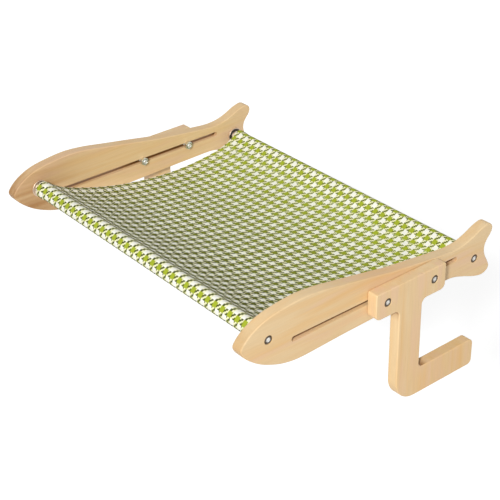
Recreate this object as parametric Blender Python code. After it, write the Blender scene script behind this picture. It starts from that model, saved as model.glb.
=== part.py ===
"""Cat window perch: a cloth hammock between two fish-shaped rails, hung on a window sill by two sliding hooks.

Sizes are in millimetres here and the model is in metres. +X runs along the tubes, +Y points to the window and
+Z is up. The origin is midway between the hooks, where the sill's edge meets the legs' rear faces, level with
the undersides of the hooks' plates.
"""

from math import atan, atan2, cos, hypot, pi, radians, sin

import bmesh
import bpy
from mathutils import Vector
from mathutils.geometry import tessellate_polygon

MM = 0.001

# Fits
FIT = 0.3  # gap between pieces that touch or slide
HEAD_CLEARANCE = 0.5  # radial room round a bolt head in its counterbore
CUTTER_PAST = 5.0  # how far a cutter runs out of what it cuts

# Boards
RAIL_THICKNESS = 15.0
HOOK_THICKNESS = 15.0
INNER_SPAN = 446.0  # between the rails' inner faces
EDGE_ROUNDING = 1.4  # radius of the sanded edges

# Bolts and nuts, M6
SHANK_RADIUS = 3.0
HEAD_RADIUS = 5.0
HEAD_HEIGHT = 6.0
HEAD_CHAMFER = 0.5
SOCKET_WIDTH = 5.0  # across the flats
SOCKET_DEPTH = 3.2
HOOK_BOLT_LENGTH = 30.0
ROD_BOLT_LENGTH = 28.0
NUT_WIDTH = 10.0  # across the flats
NUT_HEIGHT = 5.0

# Hooks
HOOK_HEIGHT = 169.0  # from the foot's underside up to the plate's top
BOLT_SPACING = 75.5
BOLT_ROW_HEIGHT = 19.0  # above the plate's underside
PLATE_ABOVE_BOLTS = 16.0
PLATE_PAST_BOLTS = 18.25
LEG_WIDTH = 37.0
FOOT_HEIGHT = 37.0
FOOT_REACH = 95.0  # past the leg's rear face
HEEL_RADIUS = 31.0
INNER_RADIUS = 7.5
PLATE_TOP_RADIUS = 2.4
PLATE_LOWER_RADIUS = 7.5
TOE_RADIUS = 7.0

# Slots and rods
TRAVEL_TO_HEAD = 127.0  # how far a hook slides each way from where it stands
TRAVEL_TO_TAIL = 50.0
ROD_AHEAD_OF_SLOT = 32.5
ROD_BEHIND_SLOT = 31.5
FRONT_ROD_RISE = 14.2  # above the slot's middle line
REAR_ROD_DROP = 12.2  # below it

# Fish outline, measured from the slot's middle line
NOSE_REACH = 38.0  # ahead of the front rod
NECK_SETBACK = 10.0  # the narrowest place, ahead of the slot's rear end
FIN_REACH = 29.3  # behind the rear rod
BACK_HEIGHT = 46.7
BELLY_DEPTH = 29.4
NECK_HEIGHT = 13.0
NECK_DEPTH = 24.2
FIN_HEIGHT = 28.1
FIN_DEPTH = 40.6

# Tubes and plugs
TUBE_RADIUS = 8.0
TUBE_WALL = 1.2
FLANGE_THICKNESS = 1.5
FLANGE_OVERHANG = 3.5  # past the tube's surface
PLUG_LENGTH = 22.0

# Cloth
CLOTH_THICKNESS = 1.2
SAG = 35.5  # below the straight line between the tubes
SAG_FULLNESS = 2.6  # 2 is a parabola, more hangs steeper at the tubes and flatter between them
SLEEVE_OPEN = 21.0  # from the tube to the sewn strip
SEWN_STRIP = 8.0
FRONT_SLIDE = -0.5  # how far the cloth lies off the middle at each tube
REAR_SLIDE = 4.0
EDGE_CLEARANCE = 1.0  # from the free edges to the bolts' ends that pass them

# Places that follow from the sizes above
PLATE_TOP = BOLT_ROW_HEIGHT + PLATE_ABOVE_BOLTS
SILL_GAP = HOOK_HEIGHT - PLATE_TOP - FOOT_HEIGHT  # 97 from the plate's underside down to the foot
LEG_CENTRE = -LEG_WIDTH / 2
FRONT_BOLT_Y = LEG_CENTRE - BOLT_SPACING / 2
REAR_BOLT_Y = LEG_CENTRE + BOLT_SPACING / 2
SLOT_HALF = SHANK_RADIUS + FIT
SLOT_FRONT = FRONT_BOLT_Y - TRAVEL_TO_HEAD - SLOT_HALF
SLOT_REAR = REAR_BOLT_Y + TRAVEL_TO_TAIL + SLOT_HALF
FRONT_ROD = Vector((SLOT_FRONT - ROD_AHEAD_OF_SLOT, BOLT_ROW_HEIGHT + FRONT_ROD_RISE))
REAR_ROD = Vector((SLOT_REAR + ROD_BEHIND_SLOT, BOLT_ROW_HEIGHT - REAR_ROD_DROP))
RAIL_INNER = INNER_SPAN / 2
RAIL_OUTER = RAIL_INNER + RAIL_THICKNESS
HOOK_INNER = RAIL_OUTER + FIT
HOOK_OUTER = HOOK_INNER + HOOK_THICKNESS
COUNTERBORE_RADIUS = HEAD_RADIUS + HEAD_CLEARANCE
COUNTERBORE_DEPTH = HEAD_HEIGHT + 2 * FIT
UNDER_HEAD = COUNTERBORE_DEPTH - FIT  # from a board's outer face in to the head's underside
FLANGE_RADIUS = TUBE_RADIUS + FLANGE_OVERHANG
FLANGE_FACE = RAIL_INNER - FIT
TUBE_END = FLANGE_FACE - FLANGE_THICKNESS - FIT
SLEEVE_INNER = TUBE_RADIUS + FIT
SLEEVE_OUTER = SLEEVE_INNER + CLOTH_THICKNESS


def material(name, colour, roughness, metallic=0.0):
    made = bpy.data.materials.new(name)
    made.use_nodes = True
    shader = made.node_tree.nodes["Principled BSDF"]
    shader.inputs["Base Color"].default_value = (*colour, 1.0)
    shader.inputs["Roughness"].default_value = roughness
    shader.inputs["Metallic"].default_value = metallic
    return made


def finish(name, bm, looks, at=(0.0, 0.0, 0.0), sharp=40.0):
    """The object of a bmesh whose points are in millimetres round the place at."""
    bmesh.ops.recalc_face_normals(bm, faces=bm.faces)
    bmesh.ops.scale(bm, vec=(MM, MM, MM), verts=bm.verts)
    mesh = bpy.data.meshes.new(name)
    bm.to_mesh(mesh)
    bm.free()
    mesh.shade_smooth()
    mesh.set_sharp_from_angle(angle=radians(sharp))
    if looks:
        mesh.materials.append(looks)
    made = bpy.data.objects.new(name, mesh)
    made.location = Vector(at) * MM
    bpy.context.scene.collection.objects.link(made)
    return made


def cut(made, cutters, sharp=40.0):
    """Takes the cutters out of the object and deletes them."""
    for cutter in cutters:
        cutter.hide_render = True
        cutter.display_type = "WIRE"
        boolean = made.modifiers.new("cut", "BOOLEAN")
        boolean.operation = "DIFFERENCE"
        boolean.solver = "EXACT"
        boolean.object = cutter
    bpy.context.view_layer.update()
    graph = bpy.context.evaluated_depsgraph_get()
    mesh = bpy.data.meshes.new_from_object(made.evaluated_get(graph))
    mesh.name = made.name
    mesh.shade_smooth()
    mesh.set_sharp_from_angle(angle=radians(sharp))
    made.modifiers.clear()
    made.data = mesh
    for cutter in cutters:
        bpy.data.objects.remove(cutter)


def ring_faces(bm, first, second):
    for i in range(len(first)):
        j = (i + 1) % len(first)
        bm.faces.new((first[i], first[j], second[j], second[i]))


def turned(bm, profile, sides, bored=False):
    """A body turned about the X axis. The profile is (x, radius) points; a bored one closes on itself."""
    rings = []
    for x, radius in profile:
        ring = []
        for i in range(sides):
            turn = 2 * pi * i / sides
            ring.append(bm.verts.new((x, radius * cos(turn), radius * sin(turn))))
        rings.append(ring)
    for first, second in zip(rings, rings[1:]):
        ring_faces(bm, first, second)
    if bored:
        ring_faces(bm, rings[-1], rings[0])
    else:
        bm.faces.new(rings[0])
        bm.faces.new(rings[-1])


def shifted(outline, inward):
    """The closed outline moved inwards along the mean normal of each point's two sides."""
    area = sum(a[0] * b[1] - b[0] * a[1] for a, b in zip(outline, outline[1:] + outline[:1]))
    side = 1 if area > 0 else -1
    moved = []
    for before, here, after in zip(outline[-1:] + outline[:-1], outline, outline[1:] + outline[:1]):
        first = (Vector(here) - Vector(before)).normalized()
        second = (Vector(after) - Vector(here)).normalized()
        mean = (first + second).normalized()
        reach = inward / max(mean.dot(first), 0.5)
        moved.append((here[0] - side * mean.y * reach, here[1] + side * mean.x * reach))
    return moved


def board(bm, outline, low, high, rounding, steps=2):
    """A board between two X values with the closed (y, z) outline and rounded edges."""
    turns = [pi / 2 * i / steps for i in range(steps, -1, -1)]
    edge = [(rounding * (1 - sin(turn)), rounding * (1 - cos(turn))) for turn in turns]
    levels = [(low + depth, inset) for depth, inset in edge]
    levels += [(high - depth, inset) for depth, inset in edge[::-1]]
    rings = []
    for x, inset in levels:
        rings.append([bm.verts.new((x, y, z)) for y, z in shifted(outline, inset)])
    for first, second in zip(rings, rings[1:]):
        ring_faces(bm, first, second)
    bm.faces.new(rings[0])
    bm.faces.new(rings[-1])


def rounded(corners, step=15.0):
    """The closed outline through (y, z, radius) corners, with an arc of that radius at each."""
    outline = []
    for i, (y, z, radius) in enumerate(corners):
        here = Vector((y, z))
        back = (Vector(corners[i - 1][:2]) - here).normalized()
        on = (Vector(corners[(i + 1) % len(corners)][:2]) - here).normalized()
        half = back.angle(on) / 2
        centre = here + (back + on).normalized() * radius / sin(half)
        start = here + back * radius / (sin(half) / cos(half)) - centre
        end = here + on * radius / (sin(half) / cos(half)) - centre
        sweep = (atan2(end.y, end.x) - atan2(start.y, start.x) + pi) % (2 * pi) - pi
        count = max(2, round(abs(sweep) / radians(step)))
        for j in range(count + 1):
            turn = atan2(start.y, start.x) + sweep * j / count
            outline.append((centre.x + radius * cos(turn), centre.y + radius * sin(turn)))
    return outline


def smooth_loop(points, bend=6.0, longest=45.0):
    """A closed smooth curve through the points, kept only where it has turned by the bend or run on far."""
    fine = []
    for i, here in enumerate(points):
        p0, p1, p2, p3 = (Vector(points[(i + k) % len(points)]) for k in (-1, 0, 1, 2))
        gaps = [max((b - a).length ** 0.5, 1e-6) for a, b in ((p0, p1), (p1, p2), (p2, p3))]
        first = (p1 - p0) / gaps[0] - (p2 - p0) / (gaps[0] + gaps[1]) + (p2 - p1) / gaps[1]
        last = (p2 - p1) / gaps[1] - (p3 - p1) / (gaps[1] + gaps[2]) + (p3 - p2) / gaps[2]
        first, last = first * gaps[1], last * gaps[1]
        for j in range(12):
            t = j / 12
            fine.append(
                p1 * (2 * t**3 - 3 * t**2 + 1)
                + first * (t**3 - 2 * t**2 + t)
                + p2 * (3 * t**2 - 2 * t**3)
                + last * (t**3 - t**2)
            )
    kept = [fine[0]]
    turned_by = 0.0
    for i in range(1, len(fine) - 1):
        before, after = fine[i] - fine[i - 1], fine[i + 1] - fine[i]
        turned_by += abs(before.angle_signed(after, 0.0))
        if turned_by >= radians(bend) or (fine[i] - kept[-1]).length > longest:
            kept.append(fine[i])
            turned_by = 0.0
    return [tuple(point) for point in kept]


def fish_outline():
    """The rail's outline: the belly from the nose to the neck, round the tail fin, and back along the back."""
    nose = FRONT_ROD.x - NOSE_REACH
    neck = SLOT_REAR - NECK_SETBACK
    tail = REAR_ROD.x + FIN_REACH
    height = BACK_HEIGHT + BELLY_DEPTH
    # Shares of the length from the nose to the neck, and of the height from the belly to the back.
    belly = (
        (0.0, 0.59), (0.006, 0.51), (0.02, 0.435), (0.049, 0.323), (0.083, 0.222), (0.118, 0.145),
        (0.171, 0.06), (0.225, 0.012), (0.28, 0.0), (0.35, 0.01), (0.465, 0.03), (0.65, 0.05),
    )
    back = (
        (0.8, 0.655), (0.7, 0.71), (0.593, 0.792), (0.472, 0.883), (0.356, 0.97), (0.268, 1.0),
        (0.182, 0.971), (0.124, 0.932), (0.08, 0.872), (0.042, 0.785), (0.014, 0.685),
    )
    # Shares of the length from the neck to the tail, and heights as shares of the fin's own.
    lower_fin = (
        (0.15, 1.08 * NECK_DEPTH), (0.36, 0.77 * FIN_DEPTH), (0.58, 0.917 * FIN_DEPTH),
        (0.77, FIN_DEPTH), (0.875, 0.982 * FIN_DEPTH), (0.95, 0.9 * FIN_DEPTH), (0.975, 0.79 * FIN_DEPTH),
        (0.94, 0.62 * FIN_DEPTH), (0.885, 0.445 * FIN_DEPTH), (0.842, 0.27 * FIN_DEPTH), (0.828, 0.12 * FIN_DEPTH),
    )
    upper_fin = (
        (0.845, 0.06 * FIN_HEIGHT), (0.9, 0.28 * FIN_HEIGHT), (0.962, 0.46 * FIN_HEIGHT),
        (0.995, 0.63 * FIN_HEIGHT), (0.996, 0.8 * FIN_HEIGHT), (0.955, 0.94 * FIN_HEIGHT),
        (0.885, FIN_HEIGHT), (0.79, 0.965 * FIN_HEIGHT), (0.66, 0.85 * FIN_HEIGHT),
        (0.48, 0.65 * FIN_HEIGHT), (0.3, 1.12 * NECK_HEIGHT), (0.14, 1.015 * NECK_HEIGHT),
    )
    points = [(nose + s * (neck - nose), share * height - BELLY_DEPTH) for s, share in belly]
    points.append((nose + 0.88 * (neck - nose), -NECK_DEPTH))
    points.append((neck, -NECK_DEPTH))
    points += [(neck + s * (tail - neck), -z) for s, z in lower_fin]
    points += [(neck + s * (tail - neck), z) for s, z in upper_fin]
    points.append((neck, NECK_HEIGHT))
    points.append((nose + 0.93 * (neck - nose), 1.17 * NECK_HEIGHT))
    points += [(nose + s * (neck - nose), share * height - BELLY_DEPTH) for s, share in back]
    return [(y, z + BOLT_ROW_HEIGHT) for y, z in smooth_loop(points)]


def hook_outline():
    front = FRONT_BOLT_Y - PLATE_PAST_BOLTS
    rear = REAR_BOLT_Y + PLATE_PAST_BOLTS
    foot_top = -SILL_GAP
    foot_low = -SILL_GAP - FOOT_HEIGHT
    return rounded(
        [
            (front, PLATE_TOP, PLATE_TOP_RADIUS),
            (front, 0.0, PLATE_LOWER_RADIUS),
            (-LEG_WIDTH, 0.0, INNER_RADIUS),
            (-LEG_WIDTH, foot_low, min(HEEL_RADIUS, 0.9 * LEG_WIDTH, 0.9 * FOOT_HEIGHT)),
            (FOOT_REACH, foot_low, TOE_RADIUS),
            (FOOT_REACH, foot_top, TOE_RADIUS),
            (0.0, foot_top, INNER_RADIUS),
            (0.0, 0.0, INNER_RADIUS),
            (rear, 0.0, PLATE_LOWER_RADIUS),
            (rear, PLATE_TOP, PLATE_TOP_RADIUS),
        ]
    )


def drill(start, end, radius, y, z, sides=24):
    """A round cutter along X."""
    bm = bmesh.new()
    turned(bm, [(start, radius), (end, radius)], sides)
    return finish("cutter", bm, None, (0.0, y, z))


def counterbored(outer, inner, side, y, z):
    """Cutters for a bolt hole through a board, with room for the head sunk into its outer face."""
    floor = outer - COUNTERBORE_DEPTH
    return [
        drill(side * (inner - CUTTER_PAST), side * (outer + CUTTER_PAST), SLOT_HALF, y, z),
        drill(side * floor, side * (outer + CUTTER_PAST), COUNTERBORE_RADIUS, y, z, 32),
    ]


def slot_cutter(side):
    outline = []
    for centre, start in ((SLOT_REAR - SLOT_HALF, -pi / 2), (SLOT_FRONT + SLOT_HALF, pi / 2)):
        for i in range(9):
            turn = start + pi * i / 8
            outline.append((centre + SLOT_HALF * cos(turn), BOLT_ROW_HEIGHT + SLOT_HALF * sin(turn)))
    bm = bmesh.new()
    low, high = sorted((side * (RAIL_INNER - CUTTER_PAST), side * (RAIL_OUTER + CUTTER_PAST)))
    rings = [[bm.verts.new((x, y, z)) for y, z in outline] for x in (low, high)]
    ring_faces(bm, rings[0], rings[1])
    bm.faces.new(rings[0])
    bm.faces.new(rings[1])
    return finish("cutter", bm, None)


def rail(name, side, looks):
    bm = bmesh.new()
    low, high = sorted((side * RAIL_INNER, side * RAIL_OUTER))
    board(bm, fish_outline(), low, high, EDGE_ROUNDING)
    made = finish(name, bm, looks)
    cutters = [slot_cutter(side)]
    for rod in (FRONT_ROD, REAR_ROD):
        cutters += counterbored(RAIL_OUTER, RAIL_INNER, side, rod.x, rod.y)
    cut(made, cutters)
    return made


def hook(name, side, looks, slide):
    bm = bmesh.new()
    low, high = sorted((side * HOOK_INNER, side * HOOK_OUTER))
    board(bm, hook_outline(), low, high, EDGE_ROUNDING)
    made = finish(name, bm, looks)
    cutters = []
    for y in (FRONT_BOLT_Y, REAR_BOLT_Y):
        cutters += counterbored(HOOK_OUTER, HOOK_INNER, side, y, BOLT_ROW_HEIGHT)
    cut(made, cutters)
    hang(made, slide)
    return made


def hang(made, parent):
    """Parents the object to an empty and leaves it where it is."""
    made.parent = parent
    made.matrix_parent_inverse = parent.matrix_world.inverted()


def bolt_mesh(length, looks):
    """A socket head bolt on the X axis: the underside of its head at 0, the shank towards -X."""
    bm = bmesh.new()
    tip = 0.8
    turned(
        bm,
        [
            (-length, SHANK_RADIUS - tip),
            (-length + tip, SHANK_RADIUS),
            (0.0, SHANK_RADIUS),
            (0.0, HEAD_RADIUS),
            (HEAD_HEIGHT - HEAD_CHAMFER, HEAD_RADIUS),
            (HEAD_HEIGHT, HEAD_RADIUS - HEAD_CHAMFER),
        ],
        28,
    )
    made = finish("bolt", bm, looks)
    bm = bmesh.new()
    turned(
        bm,
        [
            (HEAD_HEIGHT - SOCKET_DEPTH, SOCKET_WIDTH / 2 / cos(pi / 6)),
            (HEAD_HEIGHT + CUTTER_PAST, SOCKET_WIDTH / 2 / cos(pi / 6)),
        ],
        6,
    )
    cut(made, [finish("cutter", bm, None)])
    mesh = made.data
    bpy.data.objects.remove(made)
    return mesh


def nut_mesh(looks):
    """A hexagon nut on the X axis from 0 towards -X, its corners turned down at both faces."""
    corner = NUT_WIDTH / 2 / cos(pi / 6)
    turn_down = 0.55
    bm = bmesh.new()
    turned(
        bm,
        [
            (-NUT_HEIGHT, corner - 2 * turn_down),
            (-NUT_HEIGHT + turn_down, corner),
            (-turn_down, corner),
            (0.0, corner - 2 * turn_down),
        ],
        6,
    )
    made = finish("nut", bm, looks, sharp=20.0)
    cut(made, [drill(-NUT_HEIGHT - CUTTER_PAST, CUTTER_PAST, SLOT_HALF, 0.0, 0.0, 24)], sharp=20.0)
    mesh = made.data
    bpy.data.objects.remove(made)
    return mesh


def place(name, mesh, side, x, y, z, parent=None):
    """One more object of a shared mesh, turned about Z on the left so that it points the other way."""
    made = bpy.data.objects.new(name, mesh)
    made.rotation_euler = (0.0, 0.0, 0.0 if side > 0 else pi)
    made.location = Vector((side * x, y, z)) * MM
    bpy.context.scene.collection.objects.link(made)
    bpy.context.view_layer.update()
    if parent:
        hang(made, parent)
    return made


def sheet_middle():
    """The hanging sheet's middle line from tube to tube, as (place, normal) pairs in Y and Z."""
    radius = SLEEVE_INNER + CLOTH_THICKNESS / 2
    front_turn = rear_turn = 0.3
    for _ in range(8):
        start = FRONT_ROD + Vector((sin(front_turn), cos(front_turn))) * radius
        end = REAR_ROD + Vector((-sin(rear_turn), cos(rear_turn))) * radius
        chord = (end.y - start.y) / (end.x - start.x)
        steep = 2 * SAG_FULLNESS * SAG / (end.x - start.x)
        front_turn = atan(steep - chord)
        rear_turn = atan(steep + chord)
    count = 30
    line = []
    for i in range(count + 1):
        u = 0.5 - 0.5 * cos(pi * i / count)
        across = 2 * u - 1
        z = start.y + (end.y - start.y) * u - SAG * (1 - abs(across) ** SAG_FULLNESS)
        slope = chord + steep * (1 if across > 0 else -1) * abs(across) ** (SAG_FULLNESS - 1)
        normal = Vector((-slope, 1.0)).normalized()
        line.append((Vector((start.x + (end.x - start.x) * u, z)), normal))
    return line


def tangent_below(centre, radius, target, toward):
    """Where a line from the target touches the underside of a circle; toward is +1 if the target lies at +Y."""
    away = target - centre
    half = radius / away.length
    half = atan2((1 - half**2) ** 0.5, half)
    turn = atan2(away.y, away.x) - toward * half
    return centre + Vector((cos(turn), sin(turn))) * radius


def arc(centre, radius, start, end, around):
    """Points on a circle from one point to another, around it with the given sign."""
    first = atan2(start.y - centre.y, start.x - centre.x)
    sweep = (atan2(end.y - centre.y, end.x - centre.x) - first) % (2 * pi)
    if around < 0:
        sweep -= 2 * pi
    count = max(2, round(abs(sweep) / radians(14.0)))
    turns = [first + sweep * i / count for i in range(count + 1)]
    return [centre + Vector((cos(turn), sin(turn))) * radius for turn in turns]


def strip_points(line, at_front):
    """Indices of the sheet's points where a sleeve's sewn strip begins and ends."""
    order = range(len(line)) if at_front else range(len(line) - 1, -1, -1)
    start, run, found = line[0 if at_front else -1][0], 0.0, []
    for i in order:
        run += (line[i][0] - start).length
        start = line[i][0]
        if not found and run >= SLEEVE_OPEN or len(found) == 1 and run >= SLEEVE_OPEN + SEWN_STRIP:
            found.append(i)
        if len(found) == 2:
            break
    return found


def cloth_profile():
    """The cloth's outline in Y and Z and the outlines of its two sleeve openings."""
    line = sheet_middle()
    half = CLOTH_THICKNESS / 2
    above = [middle + normal * half for middle, normal in line]
    under = [middle - normal * half for middle, normal in line]
    layer = [middle - normal * 3 * half for middle, normal in line]
    f0, f1 = strip_points(line, True)
    r0, r1 = strip_points(line, False)
    outer = []
    low = tangent_below(FRONT_ROD, SLEEVE_OUTER, layer[f0], 1)
    outer += above[::-1]
    outer += arc(FRONT_ROD, SLEEVE_OUTER, above[0], low, 1)[1:]
    outer += layer[f0 : f1 + 1]
    outer += under[f1 : r1 + 1]
    outer += layer[r1 : r0 + 1]
    low = tangent_below(REAR_ROD, SLEEVE_OUTER, layer[r0], -1)
    outer += arc(REAR_ROD, SLEEVE_OUTER, low, above[-1], 1)[:-1]
    low = tangent_below(FRONT_ROD, SLEEVE_INNER, under[f0], 1)
    front = arc(FRONT_ROD, SLEEVE_INNER, under[0], low, 1) + under[f0:0:-1]
    low = tangent_below(REAR_ROD, SLEEVE_INNER, under[r0], -1)
    rear = arc(REAR_ROD, SLEEVE_INNER, low, under[-1], 1) + under[-2 : r0 - 1 : -1]
    return outer, front, rear


def cloth(name, looks):
    """One sheet as wide as the bolts' ends leave room for, which lies a little askew along the tubes."""
    bolt_reach = RAIL_INNER - (HOOK_OUTER - UNDER_HEAD - HOOK_BOLT_LENGTH)
    half_width = RAIL_INNER - max(bolt_reach, NUT_HEIGHT + FIT) - EDGE_CLEARANCE
    line = sheet_middle()
    start, end = line[0][0].x, line[-1][0].x
    loops = cloth_profile()

    def edges(y):
        across = min(max((y - start) / (end - start), 0.0), 1.0)
        slide = FRONT_SLIDE + (REAR_SLIDE - FRONT_SLIDE) * across
        return slide - half_width, slide + half_width

    bm = bmesh.new()
    ends = ([], [])
    for loop in loops:
        for k in (0, 1):
            ends[k].append([bm.verts.new((edges(p.x)[k], p.x, p.y)) for p in loop])
    for left, right in zip(*ends):
        ring_faces(bm, left, right)
    flat = tessellate_polygon([[Vector((0.0, p.x, p.y)) for p in loop] for loop in loops])
    for rows in ends:
        points = [point for row in rows for point in row]
        for a, b, c in flat:
            bm.faces.new((points[a], points[b], points[c]))
    return finish(name, bm, looks, sharp=50.0)


for old in list(bpy.data.objects):
    bpy.data.objects.remove(old)

pine = {
    "left_rail": material("left_rail_pine", (0.62, 0.42, 0.22), 0.5),
    "right_rail": material("right_rail_pine", (0.78, 0.58, 0.34), 0.5),
    "left_hook": material("left_hook_pine", (0.72, 0.52, 0.30), 0.5),
    "right_hook": material("right_hook_pine", (0.78, 0.58, 0.35), 0.5),
}
steel = material("tube_steel", (0.62, 0.61, 0.59), 0.28, 1.0)
plug_zinc = material("plug_zinc", (0.66, 0.64, 0.61), 0.32, 1.0)
bolt_zinc = material("bolt_zinc", (0.60, 0.60, 0.60), 0.3, 1.0)
nut_zinc = material("nut_zinc", (0.70, 0.70, 0.66), 0.28, 1.0)
houndstooth = material("houndstooth_cloth", (0.50, 0.60, 0.26), 0.9)

sides = (("left", -1), ("right", 1))
rods = (("front", FRONT_ROD), ("rear", REAR_ROD))

for label, side in sides:
    rail(label + "_rail", side, pine[label + "_rail"])

for label, rod in rods:
    bm = bmesh.new()
    bore = TUBE_RADIUS - TUBE_WALL
    turned(
        bm,
        [(-TUBE_END, TUBE_RADIUS), (TUBE_END, TUBE_RADIUS), (TUBE_END, bore), (-TUBE_END, bore)],
        40,
        bored=True,
    )
    finish(label + "_tube", bm, steel, (0.0, rod.x, rod.y))

bm = bmesh.new()
plug_radius = TUBE_RADIUS - TUBE_WALL - FIT
turned(
    bm,
    [
        (0.0, SLOT_HALF),
        (0.0, FLANGE_RADIUS - 0.4),
        (-0.4, FLANGE_RADIUS),
        (-FLANGE_THICKNESS, FLANGE_RADIUS),
        (-FLANGE_THICKNESS, plug_radius),
        (-FLANGE_THICKNESS - PLUG_LENGTH, plug_radius),
        (-FLANGE_THICKNESS - PLUG_LENGTH, SLOT_HALF),
    ],
    32,
    bored=True,
)
plug = finish("plug", bm, plug_zinc)
plug_mesh = plug.data
bpy.data.objects.remove(plug)
rod_bolt = bolt_mesh(ROD_BOLT_LENGTH, bolt_zinc)
rod_bolt.name = "rod_bolt"
for label, rod in rods:
    for which, side in sides:
        place(f"{label}_{which}_plug", plug_mesh, side, FLANGE_FACE, rod.x, rod.y)
        place(f"{label}_{which}_bolt", rod_bolt, side, RAIL_OUTER - UNDER_HEAD, rod.x, rod.y)

hook_bolt = bolt_mesh(HOOK_BOLT_LENGTH, bolt_zinc)
hook_bolt.name = "hook_bolt"
nut = nut_mesh(nut_zinc)
nut.name = "nut"
for label, side in sides:
    slide = bpy.data.objects.new(label + "_slide", None)
    slide.location = Vector((side * (HOOK_INNER + HOOK_THICKNESS / 2), LEG_CENTRE, BOLT_ROW_HEIGHT)) * MM
    bpy.context.scene.collection.objects.link(slide)
    bpy.context.view_layer.update()
    hook(label + "_hook", side, pine[label + "_hook"], slide)
    for which, y in (("front", FRONT_BOLT_Y), ("rear", REAR_BOLT_Y)):
        place(
            f"{label}_hook_{which}_bolt", hook_bolt, side, HOOK_OUTER - UNDER_HEAD, y, BOLT_ROW_HEIGHT, slide
        )
        place(f"{label}_hook_{which}_nut", nut, side, RAIL_INNER - FIT, y, BOLT_ROW_HEIGHT, slide)

cloth("hammock_cloth", houndstooth)
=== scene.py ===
from math import atan, atan2, cos, pi, radians, sin

import bmesh
import bpy
import numpy as np
from mathutils import Matrix, Vector
from mathutils.geometry import tessellate_polygon


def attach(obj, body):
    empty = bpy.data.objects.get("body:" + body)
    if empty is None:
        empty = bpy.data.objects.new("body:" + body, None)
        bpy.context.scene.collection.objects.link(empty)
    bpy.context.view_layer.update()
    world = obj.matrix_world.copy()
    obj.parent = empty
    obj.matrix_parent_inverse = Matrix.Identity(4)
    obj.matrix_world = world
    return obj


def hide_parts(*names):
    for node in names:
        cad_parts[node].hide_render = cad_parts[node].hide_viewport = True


# Cat window perch. Sizes are in millimetres, in the CAD model's frame, and makePiece turns them into metres.
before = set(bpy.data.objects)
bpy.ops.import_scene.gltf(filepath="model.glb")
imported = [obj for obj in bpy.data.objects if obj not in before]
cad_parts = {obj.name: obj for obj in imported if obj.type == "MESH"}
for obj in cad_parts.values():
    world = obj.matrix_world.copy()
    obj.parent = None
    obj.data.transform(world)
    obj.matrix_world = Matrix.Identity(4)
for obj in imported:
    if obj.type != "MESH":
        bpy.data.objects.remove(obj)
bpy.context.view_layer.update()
mm = 0.001

perch = {
    "railInner": 223.0,  # from the middle to a rail's inner face
    "railOuter": 238.0,
    "hookInner": 238.3,
    "hookOuter": 253.3,
    "boltRow": 19.0,  # height of the slots' middle line
    "slotFront": -186.55,
    "slotRear": 72.55,
    "slotHalf": 3.3,
    "frontRod": (-219.05, 33.2),  # y and z of each tube's axis
    "rearRod": (104.05, 6.8),
    "hookBolts": (-56.25, 19.25),
    "counterboreRadius": 5.5,
    "counterboreDepth": 6.6,
}
sides = (("left", -1), ("right", 1))  # and the way that each faces along X


# Mesh helpers

def pick(values, *keys):
    # The values of those keys, one after another
    return (values[key] for key in keys)


def gridQuads(rows, columns, closeRows=False, closeColumns=True, start=0):
    # Quads (i, j), (i, j+1), (i+1, j+1), (i+1, j) of a grid whose rows or columns may close on themselves
    i = np.arange(rows if closeRows else rows - 1)[:, None]
    j = np.arange(columns if closeColumns else columns - 1)[None, :]
    nextRow, nextColumn = (i + 1) % rows, (j + 1) % columns
    corners = [(i, j), (i, nextColumn), (nextRow, nextColumn), (nextRow, j)]
    return np.stack([row * columns + column for row, column in corners], -1).reshape(-1, 4) + start


def fanTriangles(ring, pole):
    # Triangles from each side of a closed ring of indices to one point
    return np.stack([ring, np.roll(ring, -1), np.full(len(ring), pole)], -1)


def endFans(rows, columns):
    # Triangles from a grid's first and last rows to the two points that follow the grid's own
    ring, count = np.arange(columns), rows * columns
    return [fanTriangles(ring[::-1], count), fanTriangles(count - columns + ring, count + 1)]


def unit(vectors):
    # Each vector divided by its length
    return vectors / np.linalg.norm(vectors, axis=-1, keepdims=True)


def runningLength(points):
    # How far along a polyline each of its points lies: the sum of the steps before it
    return np.r_[0.0, np.cumsum(np.linalg.norm(np.diff(points, axis=0), axis=1))]


def signedVolume(points, faces):
    # A sixth of the sum of a . (b x c) over the faces' triangles
    total = 0.0
    for block in faces:
        first = points[block[:, 0]]
        for k in range(1, block.shape[1] - 1):
            total += np.einsum("ij,ij->", first, np.cross(points[block[:, k]], points[block[:, k + 1]]))
    return total / 6


def makePiece(
    name, points, faces, body, material, replaced=(), uv=None, marks=None, sharp=35.0, weld=False,
):
    # One finished piece: its mesh in place round an object at the origin, riding on its body
    if not weld and signedVolume(points, faces) < 0:
        faces = [block[:, ::-1] for block in faces]
    mesh = bpy.data.meshes.new(name)
    mesh.from_pydata((points * mm).tolist(), [], [face for block in faces for face in block.tolist()])
    if marks is not None:
        mark = mesh.attributes.new("mark", "FLOAT", "POINT")
        mark.data.foreach_set("value", np.asarray(marks, np.float32))
    if weld:
        bm = bmesh.new()
        bm.from_mesh(mesh)
        bmesh.ops.remove_doubles(bm, verts=bm.verts, dist=2e-6)
        bmesh.ops.recalc_face_normals(bm, faces=bm.faces)
        bm.to_mesh(mesh)
        bm.free()
    if uv is not None:
        corners = np.empty(len(mesh.loops), np.int32)
        mesh.loops.foreach_get("vertex_index", corners)
        surface = mesh.uv_layers.new(name="surface")
        surface.data.foreach_set("uv", np.asarray(uv, np.float32)[corners].ravel())
    mesh.shade_smooth()
    mesh.set_sharp_from_angle(angle=radians(sharp))
    mesh.materials.append(material)
    piece = bpy.data.objects.new(name, mesh)
    bpy.context.scene.collection.objects.link(piece)
    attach(piece, body)
    if replaced:
        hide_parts(*replaced)
    return piece


# Node helpers. A value that comes from a node knows its tree, so sums of values need no tree of their own.

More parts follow.
